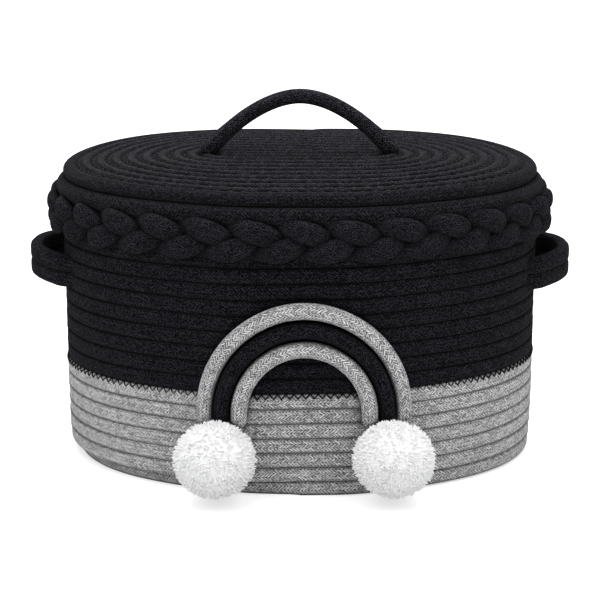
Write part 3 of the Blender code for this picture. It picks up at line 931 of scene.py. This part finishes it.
def zigzag(name, levels, pitch, radius, material, slot, body):
    """Thread that goes to and fro between the first and the last of these lines on the surface."""
    run = lengths(levels[0])
    legs = int(run[-1] / pitch * 2)
    parts = len(levels) - 1
    count = legs * parts
    along = np.linspace(0, run[-1], count + 1)
    level_of = np.arange(count + 1) % (2 * parts)
    level_of = np.where(level_of > parts, 2 * parts - level_of, level_of)
    points = np.zeros((count + 1, 3))
    for level, line in enumerate(levels):
        here = level_of == level
        for k in range(3):
            points[here, k] = np.interp(along[here], run, line[:, k])
    curve = bpy.data.curves.new(name, "CURVE")
    curve.dimensions = "3D"
    curve.bevel_depth = radius
    curve.bevel_resolution = 0
    curve.use_fill_caps = True
    spline = curve.splines.new("POLY")
    spline.points.add(len(points) - 1)
    flat = np.concatenate([points, np.ones((len(points), 1))], axis=1)
    spline.points.foreach_set("co", flat.reshape(-1))
    dress(place(name, curve), material, slot, body)


def wall_seam(first, last, below, above, proud, count):
    """Lines on the wall's face from this far below the seam over each turn to this far above it."""
    turns = turns_between(first, last)
    half = (wall_height(turns + 1) - wall_height(turns)) / 2
    seam = wall_height(turns) + half
    lines = []
    for offset in np.linspace(-below, above, count):
        # The row's face falls back towards its seam.
        rise = (1 - np.abs(offset) / half) / ROW_PRESS
        depth = ROW_DEPTH * np.maximum(1 - np.abs(rise) ** ROW_POWER, 0) ** (1 / ROW_POWER)
        places, _ = oval(WALL_MIDDLE + depth + proud - taper(turns + 0.5), turns * LOOP)
        places[:, 2] = seam + offset
        lines.append(places)
    return lines


def make_wall_threads(black_thread, grey_thread):
    """The zigzag on the top grey row, and the thread in the seams below and above it."""
    lines = wall_seam(GREY_TURNS - 1, GREY_TURNS, ZIGZAG_BELOW, ZIGZAG_ABOVE, ZIGZAG_PROUD, 6)
    zigzag("zigzag_thread", lines, ZIGZAG_PITCH, ZIGZAG_THREAD, black_thread, "black_cotton", "basket")
    lines = wall_seam(0.0, GREY_TURNS - 1, SEAM_REACH, SEAM_REACH, 0.0, 2)
    zigzag("grey_seam_thread", lines, SEAM_PITCH, GREY_THREAD, grey_thread, "grey_cotton", "basket")
    lines = wall_seam(GREY_TURNS, LEVEL_TURN - 1, SEAM_REACH, SEAM_REACH, 0.0, 2)
    zigzag("black_seam_thread", lines, SEAM_PITCH, THIN_THREAD, black_thread, "black_cotton", "basket")


def lid_seams():
    """Two lines beside the seams between the lid's upper rows, on their top faces."""
    first = LOOP
    last = (LID_ROWS - 2) * LOOP + SEWN_STEP
    counts = np.linspace(first, last, (last - first) * FINE // 2 + 1)
    rise = (LID_PITCH / 2 - LID_REACH) / (LID_PITCH / 2 * ROPE_PRESS)
    height = LID_ROPE_HEIGHT / 2 * (1 - rise ** LID_POWER) ** (1 / LID_POWER)
    inner = lid_places(counts, LID_PITCH / 2 - LID_REACH)[0]
    outer = lid_places(counts + LOOP, LID_REACH - LID_PITCH / 2)[0]
    return [inner + UP * height, outer + UP * height]


# Pom-poms: name, seed, and how far the yarn stands right of the solid's middle
POM_POMS = (("pom_pom_left", 11, 0.0011), ("pom_pom_right", 12, 0.0))
POM_DOWN = 0.0006  # how far it lies below that middle
POM_RADIUS = 0.0222
POM_STRETCH = np.array([1.03, 1.0, 0.955])
POM_CORE = 0.945   # radius of the dense inside, as a share
POM_YARNS = 3400

YARN_SIDES = 5
YARN_STRAY = 0.035           # how far the strands point astray
YARN_BEND = 0.05
YARN_LENGTHS = (0.95, 1.06)  # shortest and longest strand, in radii of the ball
YARN_RADII = (0.00036, 0.00062)
YARN_PLACES = np.array([0.80, 0.90, 0.97, 1.0])  # places along a strand, from the ball's middle
YARN_WIDTHS = np.array([1.0, 1.1, 0.95, 0.4])  # widths of a strand there
CORE_WAVES = 10
CORE_RIPPLE = 380
CORE_LUMPS = 0.035


def make_pom_pom(name, centre, material, seed):
    """A ball of cut yarn: a dense inside and many tapered strands that bend and stray a little."""
    rng = np.random.default_rng(seed)
    index = np.arange(POM_YARNS)
    height = 1 - 2 * (index + 0.5) / POM_YARNS
    ring = np.sqrt(1 - height ** 2)
    angle = math.pi * (3 - math.sqrt(5)) * index
    ahead = np.stack([ring * np.cos(angle), ring * np.sin(angle), height], axis=1)
    ahead = unit(ahead + rng.normal(0, YARN_STRAY, (POM_YARNS, 3)))
    helper = np.where(np.abs(ahead[:, 2:]) < 0.8, UP, np.array([1.0, 0.0, 0.0]))
    side = unit(np.cross(ahead, helper))
    other = np.cross(ahead, side)
    bend = side * rng.normal(0, YARN_BEND, (POM_YARNS, 1)) + other * rng.normal(0, YARN_BEND, (POM_YARNS, 1))
    long = POM_RADIUS * rng.uniform(*YARN_LENGTHS, POM_YARNS)
    thick = rng.uniform(*YARN_RADII, POM_YARNS)
    turn = rng.uniform(0, 2 * math.pi, POM_YARNS)
    levels = len(YARN_PLACES)
    along = (YARN_PLACES - YARN_PLACES[0]) / (1 - YARN_PLACES[0])
    reaches = ahead[:, None] * YARN_PLACES[:, None] + bend[:, None] * (along ** 1.5)[:, None]
    middles = centre + long[:, None, None] * reaches * POM_STRETCH
    spokes = turn[:, None] + 2 * math.pi * np.arange(YARN_SIDES) / YARN_SIDES
    circle = side[:, None] * np.cos(spokes)[..., None] + other[:, None] * np.sin(spokes)[..., None]
    circle = circle * thick[:, None, None]
    rings = middles[:, :, None] + circle[:, None] * YARN_WIDTHS[:, None, None]
    first = (index * levels * YARN_SIDES)[:, None]
    corner = np.arange(YARN_SIDES)
    start = first[:, None] + np.arange(levels - 1)[:, None] * YARN_SIDES
    low = start + corner
    low_after = start + (corner + 1) % YARN_SIDES
    faces = np.stack([low, low_after, low_after + YARN_SIDES, low + YARN_SIDES], axis=-1)
    tips = first + (levels - 1) * YARN_SIDES + corner
    roots = first + corner[::-1]
    faces = faces.reshape(-1, 4).tolist() + tips.tolist() + roots.tolist()
    mesh = bpy.data.meshes.new(name + "_yarn")
    mesh.from_pydata(rings.reshape(-1, 3).tolist(), [], faces)
    # Texture places: how far out along its strand, and which strand.
    share = np.repeat(np.tile(along, POM_YARNS), YARN_SIDES)
    which = np.repeat(index, levels * YARN_SIDES)
    loops = np.zeros(len(mesh.loops), np.int32)
    mesh.loops.foreach_get("vertex_index", loops)
    set_texture(mesh, np.stack([share[loops], which[loops] * 0.37], axis=1))
    dress(place(name + "_yarn", mesh), material, "white_yarn", "basket", name)
    core = make_core(name + "_core", centre, POM_RADIUS * POM_CORE, rng)
    dress(core, material, "white_yarn", "basket")


def make_core(name, centre, radius, rng):
    """The dense inside of a ball of yarn, slightly lumpy."""
    mesh = bpy.data.meshes.new(name)
    ball = bmesh.new()
    bmesh.ops.create_icosphere(ball, subdivisions=5, radius=radius)
    waves = rng.normal(0, CORE_RIPPLE, (CORE_WAVES, 3))
    shifts = rng.uniform(0, 2 * math.pi, CORE_WAVES)
    for vertex in ball.verts:
        spot = np.array(vertex.co)
        lump = float(np.mean(np.sin(waves @ spot + shifts)))
        vertex.co = centre + spot * (1 + CORE_LUMPS * lump) * POM_STRETCH
    layer = ball.loops.layers.uv.new("UVMap")
    for face in ball.faces:
        for loop in face.loops:
            # The inside takes the strands' painted shade at this share of their length.
            loop[layer].uv = (0.55, 40 * loop.vert.co.x / radius)
    ball.to_mesh(mesh)
    ball.free()
    mesh.shade_smooth()
    return place(name, mesh)


# Room

def make_floor():
    """Pale floor that looks white behind the object and keeps its shadow."""
    mesh = bpy.data.meshes.new("floor")
    near, far = -FLOOR_REACH, FLOOR_REACH
    mesh.from_pydata([(near, near, 0), (far, near, 0), (far, far, 0), (near, far, 0)], [], [(0, 1, 2, 3)])
    floor = place("floor", mesh)
    shader = Shader(bpy.data.materials.new("pale_floor"))
    surface = shader.nodes["Principled BSDF"]
    shader.fill(surface, {"Base Color": (FLOOR_GREY, FLOOR_GREY, FLOOR_GREY, 1), "Roughness": 0.9})
    strength = shader.times(shader.seen(), FLOOR_GLOW)
    glow = shader.node("ShaderNodeEmission", {"Color": WHITE, "Strength": strength})
    both = shader.node("ShaderNodeAddShader", {0: surface.outputs[0], 1: glow.outputs[0]})
    shader.fill(shader.nodes["Material Output"], {"Surface": both.outputs[0]})
    floor.data.materials.append(shader.owner)


def make_world():
    """Soft light from all round, and a white background."""
    world = bpy.data.worlds.new("studio")
    bpy.context.scene.world = world
    shader = Shader(world)
    strength = shader.spread(shader.seen(), 0.0, 1.0, WORLD_LIGHT, 1.0)
    shader.fill(shader.nodes["Background"], {"Color": WHITE, "Strength": strength})


def make_camera():
    data = bpy.data.cameras.new("camera")
    data.lens = CAMERA_LENS
    data.sensor_width = CAMERA_SENSOR
    data.clip_end = 20
    camera = place("camera", data)
    camera.location = (0, -CAMERA_BACK, CAMERA_HEIGHT)
    camera.rotation_euler = (math.radians(90 - CAMERA_DOWN), 0, 0)
    bpy.context.scene.camera = camera


def add_lamp(name, spot, target, size, power):
    light = bpy.data.lights.new(name, "AREA")
    light.shape = "RECTANGLE"
    light.size = size
    light.size_y = size
    light.energy = power
    lamp = place(name, light)
    lamp.location = spot
    aim = np.array(target) - np.array(spot)
    tilt = math.acos(-aim[2] / np.linalg.norm(aim))
    lamp.rotation_euler = (tilt, 0, math.atan2(aim[1], aim[0]) - math.pi / 2)


def main():
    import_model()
    for name in ("Cube", "Light", "Camera"):
        if name in bpy.data.objects:
            bpy.data.objects.remove(bpy.data.objects[name], do_unlink=True)
    bpy.context.scene.view_settings.view_transform = "Standard"

    made = make_materials()
    make_base(made["grey"])
    make_wall("wall_coil_grey_rope", 0.0, GREY_TURNS, GREY_PITCH, made["grey"], "grey_cotton")
    make_wall("wall_coil_black_rope", GREY_TURNS, GREY_TURNS + BLACK_TURNS, BLACK_PITCH, made["wall_black"],
              "black_cotton")
    make_wall_threads(made["black_thread"], made["grey_thread"])
    make_side_handles(made["black"])
    make_rainbow(made["pale"], made["black"])
    for name, seed, right in POM_POMS:
        low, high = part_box(name)
        centre = np.array((low + high) / 2) + np.array([right, 0.0, -POM_DOWN])
        make_pom_pom(name, centre, made["white"], seed)
    make_lid(made["highlight_thread"])
    for index in range(3):
        make_strand(index, made["soft_black"])
    make_lid_handle(made["bow_black"])

    make_floor()
    make_world()
    make_camera()
    for lamp in LAMPS:
        add_lamp(*lamp)


main()
